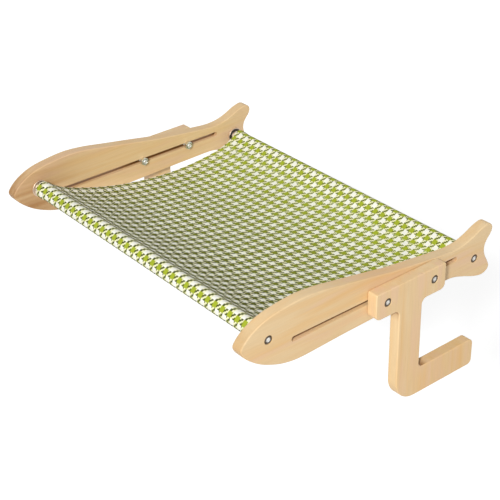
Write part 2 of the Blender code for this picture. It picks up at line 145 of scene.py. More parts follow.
def setInputs(tree, node, values):
    # Each input gets a plain value, or a link from another node's output
    for socket, value in values.items():
        if isinstance(value, bpy.types.NodeSocket):
            tree.links.new(value, node.inputs[socket])
        else:
            node.inputs[socket].default_value = value


def addNode(tree, kind, values=None, **settings):
    # A shader node with its settings and inputs
    node = tree.nodes.new("ShaderNode" + kind)
    for key, value in settings.items():
        setattr(node, key, value)
    setInputs(tree, node, values or {})
    return node


def treeOf(*values):
    # The node tree of the first value that comes from a node
    return next(value.id_data for value in values if isinstance(value, bpy.types.NodeSocket))


def calc(operation, *values):
    # A Math node of one, two or three values
    return addNode(treeOf(*values), "Math", dict(enumerate(values)), operation=operation).outputs[0]


def plus(total, *others):
    # The sum of the values
    for value in others:
        total = calc("ADD", total, value)
    return total


def times(product, *others):
    # The product of the values
    for value in others:
        product = calc("MULTIPLY", product, value)
    return product


def minus(value, taken):
    # The value less what is taken from it
    return calc("SUBTRACT", value, taken)


def opaque(colour):
    # A plain colour of three numbers gets its fourth
    return (*colour, 1.0) if isinstance(colour, tuple) else colour


def mixColours(share, first, second, blend="MIX"):
    # first * (1 - share) + second * share, or with MULTIPLY at a share of 1 their product
    tree = treeOf(share, first, second)
    values = {0: share, 6: opaque(first), 7: opaque(second)}
    return addNode(tree, "Mix", values, data_type="RGBA", blend_type=blend).outputs[2]


def mixValues(share, first, second):
    # first * (1 - share) + second * share
    return addNode(treeOf(share, first, second), "Mix", {0: share, 2: first, 3: second}).outputs[0]


def spread(value, low, high, toLow=0.0, toHigh=1.0, smooth=False):
    # The value's place between low and high, as a place between toLow and toHigh
    kind = "SMOOTHSTEP" if smooth else "LINEAR"
    values = {0: value, 1: low, 2: high, 3: toLow, 4: toHigh}
    return addNode(treeOf(value), "MapRange", values, interpolation_type=kind).outputs[0]


def noise(vector, scale, detail=2.0, roughness=0.5):
    # Fractal noise round 0.5, with scale grains to a metre or to a unit of the vector
    values = {"Vector": vector, "Scale": scale, "Detail": detail, "Roughness": roughness}
    return addNode(treeOf(vector), "TexNoise", values).outputs["Fac"]


def addRamp(value, stops, interpolation):
    # A colour ramp with a colour of three numbers at each stop
    ramp = addNode(treeOf(value), "ValToRGB", {0: value})
    ramp.color_ramp.interpolation = interpolation
    elements = ramp.color_ramp.elements
    for k, (place, colour) in enumerate(stops):
        element = elements[0] if k == 0 else elements.new(place)
        element.position = place
        element.color = opaque(colour)
    elements.remove(elements[-1])
    return ramp.outputs[0]


def markOf(tree):
    # The number that each of a piece's points carries, such as how much painted shade, painted light or bare
    # steel it has
    return addNode(tree, "Attribute", attribute_name="mark").outputs["Fac"]


def surfaceMaterial(name):
    # A new material, its tree, and the coordinates that its patterns follow
    material = bpy.data.materials.new(name)
    material.use_nodes = True
    tree = material.node_tree
    return material, tree, addNode(tree, "TexCoord").outputs


def finishSurface(tree, colour, bump, inputs):
    # Gives the shader its colour, a bump of (height, strength, distance) and its other inputs
    shader = tree.nodes["Principled BSDF"]
    relief = addNode(tree, "Bump", dict(zip(("Height", "Strength", "Distance"), bump)))
    setInputs(tree, shader, {"Base Color": colour, "Normal": relief.outputs[0], **inputs})


# Pine

pine = {
    "early": (0.775, 0.555, 0.305),  # between the growth rings
    "late": (0.68, 0.425, 0.185),
    "blush": (0.775, 0.525, 0.335),
    "pale": (0.79, 0.60, 0.355),
    "honey": (0.77, 0.475, 0.195),  # resin-rich streaks
    "umber": (0.37, 0.175, 0.06),
    "fleck": (0.45, 0.26, 0.11),
    "paintedShadeBrown": (0.27, 0.10, 0.012),  # painted shade deep in the slots and round the hooks' inner corners
    "endGrain": (0.80, 0.75, 0.68),  # how much darker wood is where its grain ends
    "slowStretch": 0.16,  # how slowly bands change along the grain
    "fibreStretch": 0.03,
    "ringSpacing": 0.0064,  # metres
    "ringStrength": 0.17,
    "ringWander": 0.045,  # metres that slow noise bends the rings
    "ringShiver": 0.45,  # share of a ring that the fibres roughen it by
    # Place in a ring and how much late wood is there
    "ringProfile": ((0.0, 0.10), (0.40, 0.20), (0.78, 0.95), (0.90, 0.80), (1.0, 0.10)),
    "stripRange": 0.1,  # glued strips lie within this of the middle, in metres
    "stripShift": (3.0, 0.09),  # how far a shift of 1 moves the pattern along and through the board
    # Grains to a metre, detail and roughness of each noise
    "wander": (11.0, 3.0),
    "shiver": (180.0, 2.0),
    "uneven": (38.0, 2.0),
    "bands": (52.0, 2.0, 0.55),
    "stripes": (130.0, 2.0),
    "strands": (900.0, 3.0, 0.6),
    "flecks": (1500.0, 1.0),
    # How strongly each colour comes through
    "blushBands": 0.70,
    "paleBands": 0.60,
    "honeyStripes": 0.32,
    "fleckShare": 0.22,
    "paleEdges": 0.07,
    "paintedShadeShare": 0.85,
    "roughness": 0.47,
    "shine": 0.3,
}


def gluedStrips(across, strips):
    # Each strip's shift and tone, from its start on, read from a stepped ramp across the grain
    reach = pine["stripRange"]
    stops = [((start + reach) / (2 * reach), (shift, shade, 0.0)) for start, shift, shade in strips]
    ramp = addRamp(spread(across, -reach, reach), stops, "CONSTANT")
    shift, shade, _ = addNode(treeOf(ramp), "SeparateColor", {0: ramp}).outputs
    return shift, shade


def streakShare(along, across, shape):
    # exp(-u^2 - v^2), where u and v are the place along and across a bent streak, in its half sizes
    placeAlong, placeAcross, halfLength, halfWidth, bend = (size * mm for size in shape)
    u = calc("DIVIDE", minus(along, placeAlong), halfLength)
    bow = times(calc("POWER", u, 2.0), bend)
    v = calc("DIVIDE", minus(minus(across, placeAcross), bow), halfWidth)
    square = plus(calc("POWER", u, 2.0), calc("POWER", v, 2.0))
    return calc("EXPONENT", times(square, -1.0))


def pineMaterial(name, turn, pith, strips=None, streaks=(), tone=1.0, thirsty=1.0):
    # Growth rings round a pith line beside the board: ring = fraction of (distance from the pith / spacing),
    # bent by slow noise, under broad pink and yellow bands, honey streaks, fibres and a few resin flecks.
    # turn brings the grain onto the local X axis, strips are (start, shift, tone) of glued strips across it,
    # and streaks are (place along, place across, half length, half width, bend, strength, colour). End grain
    # is darker, by how far the surface faces along the grain and by how thirsty the board was. Where mark is
    # negative, deep in the slots' walls and round the hooks' inner corners, dark brown is painted on as
    # shade.
    material, tree, coordinates = surfaceMaterial(name)
    turned = addNode(tree, "Mapping", {"Vector": coordinates["Object"], "Rotation": turn}).outputs["Vector"]
    faceAlong, across, faceThrough = addNode(tree, "SeparateXYZ", {0: turned}).outputs
    along, through, stripTone = faceAlong, faceThrough, (tone, tone, tone)
    if strips:
        shift, shade = gluedStrips(across, strips)
        alongShift, throughShift = (times(shift, size) for size in pine["stripShift"])
        along, through = plus(along, alongShift), plus(through, throughShift)
        stripTone = times(shade, tone)
    slow, fibre = (
        addNode(tree, "CombineXYZ", {0: times(along, pine[stretch]), 1: across, 2: through}).outputs[0]
        for stretch in ("slowStretch", "fibreStretch")
    )

    wander = times(minus(noise(slow, *pine["wander"]), 0.5), pine["ringWander"])
    offsets = (plus(minus(across, pith[0]), wander), minus(through, pith[1]))
    fromPith = calc("SQRT", plus(*(calc("POWER", offset, 2.0) for offset in offsets)))
    shiver = times(noise(fibre, *pine["shiver"]), pine["ringShiver"])
    ring = calc("FRACT", plus(calc("DIVIDE", fromPith, pine["ringSpacing"]), shiver))
    stops = [(place, (grey, grey, grey)) for place, grey in pine["ringProfile"]]
    lateWood = addRamp(ring, stops, "EASE")
    uneven = spread(noise(slow, *pine["uneven"]), 0.35, 0.68, 0.15, 1.0)
    colour = mixColours(times(lateWood, uneven, pine["ringStrength"]), pine["early"], pine["late"])

    bands = noise(slow, *pine["bands"])
    colour = mixColours(spread(bands, 0.50, 0.66, 0.0, pine["blushBands"], True), colour, pine["blush"])
    colour = mixColours(spread(bands, 0.36, 0.50, pine["paleBands"], 0.0, True), colour, pine["pale"])
    stripes = noise(fibre, *pine["stripes"])
    honey = spread(stripes, 0.54, 0.72, 0.0, pine["honeyStripes"], True)
    colour = mixColours(honey, colour, pine["honey"])
    swayed = plus(across, times(wander, 0.12))
    grain = spread(stripes, 0.3, 0.65, 0.5, 1.0)
    for *shape, strength, kind in streaks:
        share = times(streakShare(faceAlong, swayed, shape), grain, strength)
        colour = mixColours(share, colour, pine[kind])

    strands = noise(fibre, *pine["strands"])
    colour = mixColours(1.0, colour, spread(strands, 0.3, 0.7, 0.95, 1.03), "MULTIPLY")
    flecks = spread(noise(fibre, *pine["flecks"]), 0.72, 0.80)
    colour = mixColours(times(flecks, pine["fleckShare"]), colour, pine["fleck"])
    mark = markOf(tree)
    colour = mixColours(spread(mark, 0.0, 1.0, 0.0, pine["paleEdges"]), colour, pine["pale"])
    # Painted shade where mark is negative: deep in the slots' walls and round the hooks' inner corners
    colour = mixColours(spread(mark, -1.0, 0.0, pine["paintedShadeShare"], 0.0), colour, pine["paintedShadeBrown"])
    values = {"Vector": coordinates["Normal"], "Rotation": turn}
    facing = addNode(tree, "Mapping", values, vector_type="VECTOR").outputs["Vector"]
    facing = calc("ABSOLUTE", addNode(tree, "SeparateXYZ", {0: facing}).outputs[0])
    endColour = mixColours(1.0, colour, pine["endGrain"], "MULTIPLY")
    colour = mixColours(spread(facing, 0.2, 0.9, 0.0, thirsty, True), colour, endColour)
    colour = mixColours(1.0, colour, stripTone, "MULTIPLY")

    rough = spread(strands, 0.3, 0.7, pine["roughness"] - 0.06, pine["roughness"] + 0.08)
    height = plus(times(strands, 0.6), times(lateWood, 0.4))
    finishSurface(
        tree, colour, (height, 0.35, 0.00025), {"Roughness": rough, "Specular IOR Level": pine["shine"]}
    )
    return material


# Boards

board = {
    "edgeRounding": 1.4,
    "edgeSteps": 6,
    "edgeUneven": 0.12,  # how far the sanded radius wavers
    "edgeWaves": ((7, 1.0, 0.5), (17, 0.0, 0.3), (31, 2.0, 0.2)),  # waves round the board, phase, share
    "holeEdge": 0.35,  # eased edge of a hole or slot
    "flatRing": 0.5,  # thin flat border that keeps the faces' shading flat
    "floorEase": 0.2,  # eased corners of a counterbore's floor
    "holeSides": 64,
    "slotPaintedShade": ((4.9, 0.0), (5.8, -1.0), (7.3, -1.0)),  # depth in a slot, how much painted shade its wall has there
}
fish = {
    "noseReach": 38.0,  # from the front tube's axis
    "neckReach": 10.0,  # from the slot's rear end
    "tailReach": 29.3,  # from the rear tube's axis
    "back": 46.7,  # heights are from the slots' middle line
    "belly": 29.4,
    "neckHigh": 13.0,
    "neckDeep": 24.2,
    "finHigh": 28.1,
    "finDeep": 40.6,
    # Knots as shares of the body's length and height, then of the fin's length and its height or depth
    "bodyUnder": (
        (0.0, 0.59), (0.006, 0.51), (0.02, 0.435), (0.049, 0.323), (0.083, 0.222), (0.118, 0.145),
        (0.171, 0.06), (0.225, 0.012), (0.28, 0.0), (0.35, 0.01), (0.465, 0.03), (0.65, 0.05),
    ),
    "bodyOver": (
        (0.8, 0.655), (0.7, 0.71), (0.593, 0.792), (0.472, 0.883), (0.356, 0.97), (0.268, 1.0),
        (0.182, 0.971), (0.124, 0.932), (0.08, 0.872), (0.042, 0.785), (0.014, 0.685),
    ),
    "finUnder": (
        (0.36, 0.77), (0.58, 0.917), (0.77, 1.0), (0.875, 0.982), (0.95, 0.9),
        (0.975, 0.79), (0.94, 0.62), (0.885, 0.445), (0.842, 0.27), (0.828, 0.12),
    ),
    "finOver": (
        (0.845, 0.06), (0.9, 0.28), (0.962, 0.46), (0.995, 0.63), (0.996, 0.8), (0.955, 0.94), (0.885, 1.0),
        (0.79, 0.965), (0.66, 0.85), (0.48, 0.65),
    ),
}
hook = {
    "corners": (  # y, z and radius, from the plate's front down the leg, round the foot and back up
        (-74.5, 35.0, 2.4), (-74.5, 0.0, 7.5), (-37.0, 0.0, 7.5), (-37.0, -134.0, 31.0), (95.0, -134.0, 7.0),
        (95.0, -97.0, 7.0), (0.0, -97.0, 7.5), (0.0, 0.0, 7.5), (37.5, 0.0, 7.5), (37.5, 35.0, 2.4),
    ),
    # y, z and reach of the hooks' inner corners that get painted shade
    "paintedShadeCorners": ((5.0, -97.0, 10.0), (-39.2, -2.2, 7.0), (2.2, -2.2, 5.7)),
}


def closedCurve(knots, steps=10):
    # A smooth curve through the knots: between knots 1 and 2 a cubic whose end slopes come from knots 0 to 3,
    # with the roots of the knots' distances as its spans
    knots = np.asarray(knots, float)
    p0, p1, p2, p3 = (np.roll(knots, k, axis=0)[:, None, :] for k in (1, 0, -1, -2))
    g0, g1, g2 = (
        np.maximum(np.linalg.norm(b - a, axis=-1, keepdims=True) ** 0.5, 1e-6)
        for a, b in ((p0, p1), (p1, p2), (p2, p3))
    )
    first = ((p1 - p0) / g0 - (p2 - p0) / (g0 + g1) + (p2 - p1) / g1) * g1
    last = ((p2 - p1) / g1 - (p3 - p1) / (g1 + g2) + (p3 - p2) / g2) * g1
    t = (np.arange(steps) / steps)[None, :, None]
    curve = (
        p1 * (2 * t**3 - 3 * t**2 + 1) + first * (t**3 - 2 * t**2 + t)
        + p2 * (3 * t**2 - 2 * t**3) + last * (t**3 - t**2)
    )
    return curve.reshape(-1, 2)


def fishOutline():
    # The curve through the belly's, the fin's and the back's knots: place = start + share * length
    back, belly, neckHigh, neckDeep = pick(fish, "back", "belly", "neckHigh", "neckDeep")
    finHigh, finDeep = pick(fish, "finHigh", "finDeep")
    nose = perch["frontRod"][0] - fish["noseReach"]
    neck = perch["slotRear"] - fish["neckReach"]
    tail = perch["rearRod"][0] + fish["tailReach"]

    def between(start, end, low, high, shares):
        y, z = np.transpose(shares)
        return np.stack([start + y * (end - start), low + z * (high - low)], -1)

    finUnder = [(0.15, 1.08 * neckDeep / finDeep), *fish["finUnder"]]
    finOver = [*fish["finOver"], (0.3, 1.12 * neckHigh / finHigh), (0.14, 1.015 * neckHigh / finHigh)]
    knots = np.concatenate([
        between(nose, neck, -belly, back, fish["bodyUnder"]),
        [(nose + 0.88 * (neck - nose), -neckDeep), (neck, -neckDeep)],
        between(neck, tail, 0.0, -finDeep, finUnder),
        between(neck, tail, 0.0, finHigh, finOver),
        [(neck, neckHigh), (nose + 0.93 * (neck - nose), 1.17 * neckHigh)],
        between(nose, neck, -belly, back, fish["bodyOver"]),
    ])
    return closedCurve(knots) + (0.0, perch["boltRow"])


def roundedOutline(corners, step=6.0, longest=9.0):
    # Straight runs between corners, and an arc at each: centre = corner + bisector * radius / sin(half angle)
    arcs = []
    for k, (y, z, radius) in enumerate(corners):
        here = Vector((y, z))
        back = (Vector(corners[k - 1][:2]) - here).normalized()
        on = (Vector(corners[(k + 1) % len(corners)][:2]) - here).normalized()
        half = back.angle(on) / 2
        centre = here + (back + on).normalized() * radius / sin(half)
        start = here + back * radius * cos(half) / sin(half) - centre
        end = here + on * radius * cos(half) / sin(half) - centre
        first = atan2(start.y, start.x)
        sweep = (atan2(end.y, end.x) - first + pi) % (2 * pi) - pi
        turns = first + sweep * np.linspace(0, 1, max(3, round(abs(sweep) / radians(step)) + 1))
        arcs.append(np.stack([centre.x + radius * np.cos(turns), centre.y + radius * np.sin(turns)], -1))
    outline = []
    for arc, following in zip(arcs, arcs[1:] + arcs[:1]):
        outline.append(arc)
        count = int(np.linalg.norm(following[0] - arc[-1]) // longest)
        share = (np.arange(1, count + 1) / (count + 1))[:, None]
        outline.append(arc[-1] * (1 - share) + following[0] * share)
    return np.concatenate(outline)


def boardRim(outline, low, high):
    # A rounded edge's (depth, inset) profile carried round the outline: point = outline - normal * inset
    ahead = unit(np.roll(outline, -1, axis=0) - np.roll(outline, 1, axis=0))
    normal = np.stack([ahead[:, 1], -ahead[:, 0]], -1)
    if np.sum(outline[:, 0] * np.roll(outline[:, 1], -1) - np.roll(outline[:, 0], -1) * outline[:, 1]) < 0:
        normal = -normal
    length = np.cumsum(np.linalg.norm(outline - np.roll(outline, 1, axis=0), axis=1))
    turn = 2 * pi * length / length[-1]
    waves = sum(np.sin(count * turn + phase) * share for count, phase, share in board["edgeWaves"])
    radius = board["edgeRounding"] * (1 + board["edgeUneven"] * waves)
    turns = np.linspace(0, pi / 2, board["edgeSteps"] + 1)[:, None]
    border = radius[None] + board["flatRing"]
    depth = np.concatenate([0 * radius[None], radius * (1 - np.cos(turns)), border])
    inset = np.concatenate([border, radius * (1 - np.sin(turns)), 0 * radius[None]])
    x = np.concatenate([low + depth, high - depth[::-1]])
    inset = np.concatenate([inset, inset[::-1]])
    points = np.empty((len(x), len(outline), 3))
    points[..., 0] = x
    points[..., 1:] = outline[None] - normal[None] * inset[..., None]
    mark = np.zeros(len(turns) + 2)
    mark[1:-1] = np.sin(2 * turns[:, 0])
    return points, np.concatenate([mark, mark[::-1]])


def holeWall(centre, profile, straight=0.0):
    # The (x, radius) profile carried round a circle, or round two half circles that lie straight apart
    turns = 2 * pi * (np.arange(board["holeSides"]) + 0.5) / board["holeSides"]
    x, radius = np.asarray(profile, float).T[:, :, None]
    ring = np.empty((len(profile), board["holeSides"], 3))
    ring[..., 0] = x
    ring[..., 1] = centre[0] + radius * np.cos(turns) + np.sign(np.cos(turns)) * straight / 2
    ring[..., 2] = centre[1] + radius * np.sin(turns)
    return ring


def easedEdge(radius):
    # (depth, radius) from a flat border on the board's face over the eased edge into the hole
    ease = board["holeEdge"]
    return [
        (0.0, radius + ease + board["flatRing"]), (0.0, radius + ease), (0.3 * ease, radius + 0.3 * ease),
        (ease, radius),
    ]


def boltHoleProfile(inner, outer):
    # Eased edge, counterbore, floor, bore and eased edge, from the outer face to the inner one
    wide, narrow, deep = perch["counterboreRadius"], perch["slotHalf"], perch["counterboreDepth"]
    ease = board["floorEase"]
    floor = [(deep - ease, wide), (deep, wide - ease), (deep, narrow + ease), (deep + ease, narrow)]
    places = [(outer - depth, radius) for depth, radius in easedEdge(wide) + floor]
    return places + [(inner + depth, radius) for depth, radius in easedEdge(narrow)[::-1]]


def slotProfile(inner, outer):
    # Eased edges and a wall whose painted shade deepens towards its middle, from the outer face to the inner
    # one
    half = perch["slotHalf"]
    edge = [(depth, radius, 0) for depth, radius in easedEdge(half)]
    edge += [(depth, half, mark) for depth, mark in board["slotPaintedShade"]]
    places = [(outer - depth, radius) for depth, radius, _ in edge]
    places += [(inner + depth, radius) for depth, radius, _ in edge[::-1]]
    return places, [mark for _, _, mark in edge + edge[::-1]]


def boardPiece(kind, label, side, outline, body, holes, slot=None, paintedShadeCorners=()):
    # The rim, the walls of its holes and two flat faces filled between their borders. The rim gets painted
    # shade round each listed inner corner: mark = rounding's mark - depth * (1 - distance^2 / reach^2)
    node = f"{label}_{kind}"
    inner, outer = pick(perch, kind + "Inner", kind + "Outer")
    low, high = sorted((side * inner, side * outer))
    rim, rimMark = boardRim(outline, low, high)
    deep = np.clip(np.minimum(rim[..., 0] - low, high - rim[..., 0]) / board["edgeRounding"], 0, 1)
    rimMark = rimMark[:, None] + 0 * deep
    # Painted shade round each listed inner corner of a hook
    for y, z, reach in paintedShadeCorners:
        away = np.sum((rim[..., 1:] - (y, z)) ** 2, -1) / reach**2
        rimMark = rimMark - deep * np.clip(1 - away, 0, 1)
    walls = [(rim, rimMark)]
    for centre in holes:
        wall = holeWall(centre, boltHoleProfile(inner, outer))
        walls.append((wall, 0 * wall[..., 0]))
    if slot:
        middle = ((slot[0] + slot[1]) / 2, perch["boltRow"])
        profile, slotMark = slotProfile(inner, outer)
        wall = holeWall(middle, profile, slot[1] - slot[0] - 2 * perch["slotHalf"])
        walls.append((wall, np.array(slotMark)[:, None] + 0 * wall[..., 0]))
    for wall, _ in walls[1:]:
        wall[..., 0] *= side
    faces, start = [], 0
    borders = {low: [], high: []}
    for wall, _ in walls:
        rows, columns = wall.shape[:2]
        faces.append(gridQuads(rows, columns, start=start))
        for row in (0, rows - 1):
            at = wall[row, 0, 0]
            face = low if abs(at - low) < abs(at - high) else high
            borders[face].append((wall[row], start + row * columns + np.arange(columns)))
        start += rows * columns
    for rings in borders.values():
        flat = tessellate_polygon([[Vector((0.0, y, z)) for y, z in ring[:, 1:]] for ring, _ in rings])
        faces.append(np.concatenate([index for _, index in rings])[np.array(flat)])
    points = np.concatenate([wall.reshape(-1, 3) for wall, _ in walls])
    marks = np.concatenate([mark.ravel() for _, mark in walls])
    wood = pineMaterial(node + "_wood", **boardLooks[node])
    makePiece(node + "_board", points, faces, body, wood, (node,), marks=marks, weld=True)


print("boards")
railTurn = (-pi / 2, -pi / 2, 0.0)  # Y becomes the grain's direction, Z the one across it
hookTurn = (0.0, pi / 2, 0.0)  # Z becomes the grain's direction, Y the one across it
boardLooks = {
    "left_rail": dict(
        turn=railTurn, pith=(0.31, -0.12), tone=0.99,
        streaks=(
            (-120, 52, 90, 5, 4, 0.5, "honey"), (20, 10, 70, 6, 0, 0.4, "blush"),
            # The broad umber streak makes the nose end of the board darker
            (-170, 20, 60, 9, 5, 0.4, "honey"), (-245, 2, 78, 70, 0, 1.0, "umber"),
            (-60, 30, 140, 60, 0, 0.25, "honey"),
        ),
    ),
    "right_rail": dict(
        turn=railTurn, pith=(-0.26, 0.11), tone=0.975, thirsty=1.4,
        streaks=(
            (-85, 47.5, 80, 4.5, -11, 0.75, "honey"), (-215, 22, 55, 9, 10, 0.4, "honey"),
            (-60, 8, 90, 5, 0, 0.45, "blush"), (-120, 30, 95, 6, -3, 0.6, "honey"),
            (-110, 30, 150, 55, 0, 0.16, "honey"),
        ),
    ),
    "left_hook": dict(
        turn=hookTurn, pith=(-0.30, 0.13), thirsty=0.1,
        strips=((-0.1, 0.2, 0.98), (-0.03, 0.6, 1.0), (0.026, 0.4, 0.97)),
        streaks=((-50, -20, 70, 4, 2, 0.5, "honey"), (10, 20, 40, 6, 0, 0.4, "blush")),
    ),
    "right_hook": dict(
        turn=hookTurn, pith=(0.29, -0.10), tone=1.01, thirsty=0.1,
        strips=((-0.1, 0.3, 1.0), (-0.033, 0.7, 0.99), (0.024, 0.1, 0.97)),
        streaks=(
            (10, -64, 60, 6, 0, 0.7, "blush"), (-45, -31, 60, 4, 0, 0.8, "honey"),
            (-116, 76, 40, 16, 0, 0.4, "honey"), (-112, 20, 75, 90, 0, 0.55, "honey"),
            (-116, 20.5, 24, 2.2, 0, 0.75, "blush"), (-114, 73, 26, 5, 0, 0.75, "honey"),
            (-110, 84, 20, 3.5, 0, 0.7, "blush"), (-92, 5, 16, 8, 0, 0.6, "blush"),
            (-118, -25, 30, 5, 0, 0.6, "blush"),
        ),
    ),
}
rods = (perch["frontRod"], perch["rearRod"])
hookHoles = [(y, perch["boltRow"]) for y in perch["hookBolts"]]
slot = (perch["slotFront"], perch["slotRear"])
hookOutline = roundedOutline(hook["corners"])
for label, side in sides:
    boardPiece("rail", label, side, fishOutline(), "frame", rods, slot=slot)
    boardPiece("hook", label, side, hookOutline, label + "_hook", hookHoles, paintedShadeCorners=hook["paintedShadeCorners"])


# Metal parts

hardware = {
    "shankRadius": 3.0,
    "threadDepth": 0.42,
    "threadPitch": 1.0,
    "threadLength": 12.0,
    "threadStart": 0.7,  # from the bolt's tip
    "headRadius": 5.0,
    "headHeight": 6.0,
    "underHead": 6.3,  # from a board's face in to the head's underside
    "socketWidth": 5.0,
    "socketDepth": 3.0,
    "knurls": 30,
    "knurlDepth": 0.12,
    "hookBoltLength": 30.0,
    "rodBoltLength": 28.0,
    "nutWidth": 10.0,
    "nutHeight": 5.0,
    "nutFlat": 4.2,  # radius of a ring in the middle of a nut's flat face
    "nutFace": 4.75,  # radius where the bevel starts
    "nutBevel": 30.0,  # degrees
    "boreRoom": 0.12,
    "boreMouth": 0.45,
    "boreThread": 0.35,
    "innerFace": 222.7,  # where the plugs' flanges and the nuts lie at a rail
    "flangeRadius": 11.5,
    "flangeThickness": 1.5,
    "flangeStep": 0.12,  # sunk round the tube
    "plugLength": 22.0,
    "plugRoom": 0.15,
    "grooveSpacing": 2.4,
    "grooveDepth": 0.35,
    "tubeEnd": 220.9,
    "tubeRadius": 8.0,
    "tubeWall": 1.2,
    "tubeBevel": 0.25,
    "mapRadius": 6.0,  # one girth for the turned lines on all the round parts
    # A bolt's marked colour is bare steel on its hidden shank and a pale painted highlight in its socket
    "bolt": dict(colour=(0.10, 0.075, 0.055), roughness=0.36, lines=2600.0, marked=(0.80, 0.79, 0.76)),
    "nut": dict(colour=(0.72, 0.73, 0.69), roughness=0.24, lines=2200.0),
    # The plug's warm colour is a painted reflection of the pine boards
    "plug": dict(colour=(0.68, 0.53, 0.40), roughness=0.45, lines=1800.0, marked=(0.06, 0.045, 0.035)),
    "paintedGapShadow": {"front": 0.0, "rear": 1.0},  # how much painted shadow lies in the step of a tube's plugs, round the tube
    "tube": dict(colour=(0.66, 0.64, 0.60), roughness=0.20, lines=900.0),
}


def metalMaterial(name, colour, roughness, lines, marked=None):
    # Plated steel: fine turned lines along the profile, faint smudges, and a bump from the same lines;
    # marked points have a colour of their own and less shine: a bolt's bare shank, a pale painted highlight
    # in a bolt's socket, and a painted shadow in the gap of a plug round its tube
    material, tree, coordinates = surfaceMaterial(name)
    uv = addNode(tree, "UVMap", uv_map="surface").outputs[0]
    girth, profile, _ = addNode(tree, "SeparateXYZ", {0: uv}).outputs
    stretched = addNode(tree, "CombineXYZ", {0: times(girth, 0.004), 1: profile}).outputs[0]
    turned = noise(stretched, lines, 2.0, 0.6)
    smudge = noise(coordinates["Object"], 90.0, 3.0)
    metallic = 1.0
    if marked:
        mark = markOf(tree)
        # Marked points: bare steel and a painted highlight on a bolt, a painted shadow on a plug
        colour = mixColours(mark, colour, marked)
        metallic = spread(mark, 0.0, 1.0, 1.0, 0.45)
    colour = mixColours(1.0, colour, spread(smudge, 0.35, 0.7, 0.88, 1.05), "MULTIPLY")
    rough = plus(
        spread(turned, 0.3, 0.7, roughness - 0.05, roughness + 0.05), spread(smudge, 0.4, 0.75, 0.0, 0.10)
    )
    finishSurface(tree, colour, (turned, 0.25, 0.00004), {"Metallic": metallic, "Roughness": rough})
    return material


def turnedPoints(profile, count, radiusAt=None):
    # (x, r) rows carried round the X axis: (x, r cos t, r sin t), where radiusAt may change r by row and turn
    x, radius = np.asarray(profile, float).T[:, :, None]
    turns = 2 * pi * np.arange(count)[None, :] / count
    radius = radius + 0 * turns
    if radiusAt is not None:
        radius = radiusAt(x, radius, turns)
    return np.stack([x + 0 * turns, radius * np.cos(turns), radius * np.sin(turns)], -1)


def turnedPiece(node, kind, turned, x, spot, side, body, finish="zinc", sharp=35.0):
    # Closes the turned rows on themselves, or a bolt's with a point on the axis at each end, and places them
    grid, marks = turned
    bored = kind != "bolt"
    rows, columns = grid.shape[:2]
    along = runningLength(grid[:, 0])
    girth = 2 * pi * hardware["mapRadius"] * np.arange(columns) / columns
    uv = np.stack(np.broadcast_arrays(girth[None, :], along[:, None]), -1).reshape(-1, 2)
    points = grid.reshape(-1, 3)
    faces = [gridQuads(rows, columns, bored)]
    marks = None if marks is None else np.repeat(marks, columns)
    if not bored:
        faces += endFans(rows, columns)
        points = np.concatenate([points, [(grid[0, 0, 0], 0, 0), (grid[-1, 0, 0], 0, 0)]])
        uv = np.concatenate([uv, [(0.0, -1.0), (0.0, along[-1] + 1)]])
        marks = np.concatenate([marks, marks[[0, -1]]])
    makePiece(
        f"{node}_{finish}", points * (side, 1.0, 1.0) + (side * x, *spot), faces, body, metals[kind],
        (node,), uv=uv * mm, sharp=sharp, marks=marks,
    )


def hexRadius(turns, width):
    # Distance from the axis to the side of a hexagon: half width / cos(angle from the side's middle)
    return width / 2 / np.cos((turns + pi / 6) % (pi / 3) - pi / 6)


def threadWave(x, turns, pitch):
    # A triangle wave that climbs one pitch with each turn: 1 in the thread's roots and 0 halfway between them
    return np.abs(2 * ((x / pitch + turns / (2 * pi)) % 1) - 1)


def boltPoints(length):
    # From the tip's middle over the thread, shank, knurled head and rounded edge down into the hexagonal
    # socket, where the radius is the hexagon's less the row's own. The second value is bare steel on the
    # shank and a pale painted highlight in the socket
    shank, head, tall = pick(hardware, "shankRadius", "headRadius", "headHeight")
    pitch, threaded, start = pick(hardware, "threadPitch", "threadLength", "threadStart")
    deep = tall - hardware["socketDepth"]
    sections = {
        "tip": [(-length, 1.4), (-length, shank - 0.8)],
        "thread": [(x, shank) for x in np.arange(-length + start, -length + threaded, pitch / 8)],
        "shank": [(-length + threaded + 0.6, shank), (-0.4, shank), (-0.1, shank + 0.1)],
        "underside": [(0.0, shank + 0.4), (0.0, head - 0.4), (0.1, head - 0.12), (0.35, head)],
        "knurls": [(0.6, head), (tall - 1.1, head)],
        "shoulder": [(tall - 0.85, head), (tall - 0.5, head - 0.06), (tall - 0.22, head - 0.22)],
        "top": [
            (tall - 0.06, head - 0.5), (tall, head - 0.85), (tall, 3.45), (tall, 3.15), (tall - 0.16, 2.98),
        ],
        "socket": [(tall - 0.3, 0.0), (tall - 0.8, 0.0), (deep + 0.3, 0.0), (deep, 0.06)],
        "floor": [(deep - 0.02, 2.0), (deep - 0.7, 0.5)],
    }
    part = np.repeat(list(sections), [len(places) for places in sections.values()])
    bareAndPaintedLight = np.isin(part, ("tip", "thread", "shank", "socket", "floor")) * 1.0
    bareAndPaintedLight[np.argmax(part == "socket")] = 0.9

    def radiusAt(x, radius, turns):
        fade = np.clip(x + length - start, 0, 1) * np.clip((threaded - length - x) / 1.5, 0, 1)
        changed = {
            "thread": radius - hardware["threadDepth"] * threadWave(x, turns, pitch) * fade,
            "knurls": radius - hardware["knurlDepth"] * (0.5 - 0.5 * np.cos(hardware["knurls"] * turns)),
            "socket": hexRadius(turns, hardware["socketWidth"]) - radius,
        }
        return np.select([part[:, None] == name for name in changed], list(changed.values()), radius)

    return turnedPoints(np.concatenate(list(sections.values())), 120, radiusAt), bareAndPaintedLight


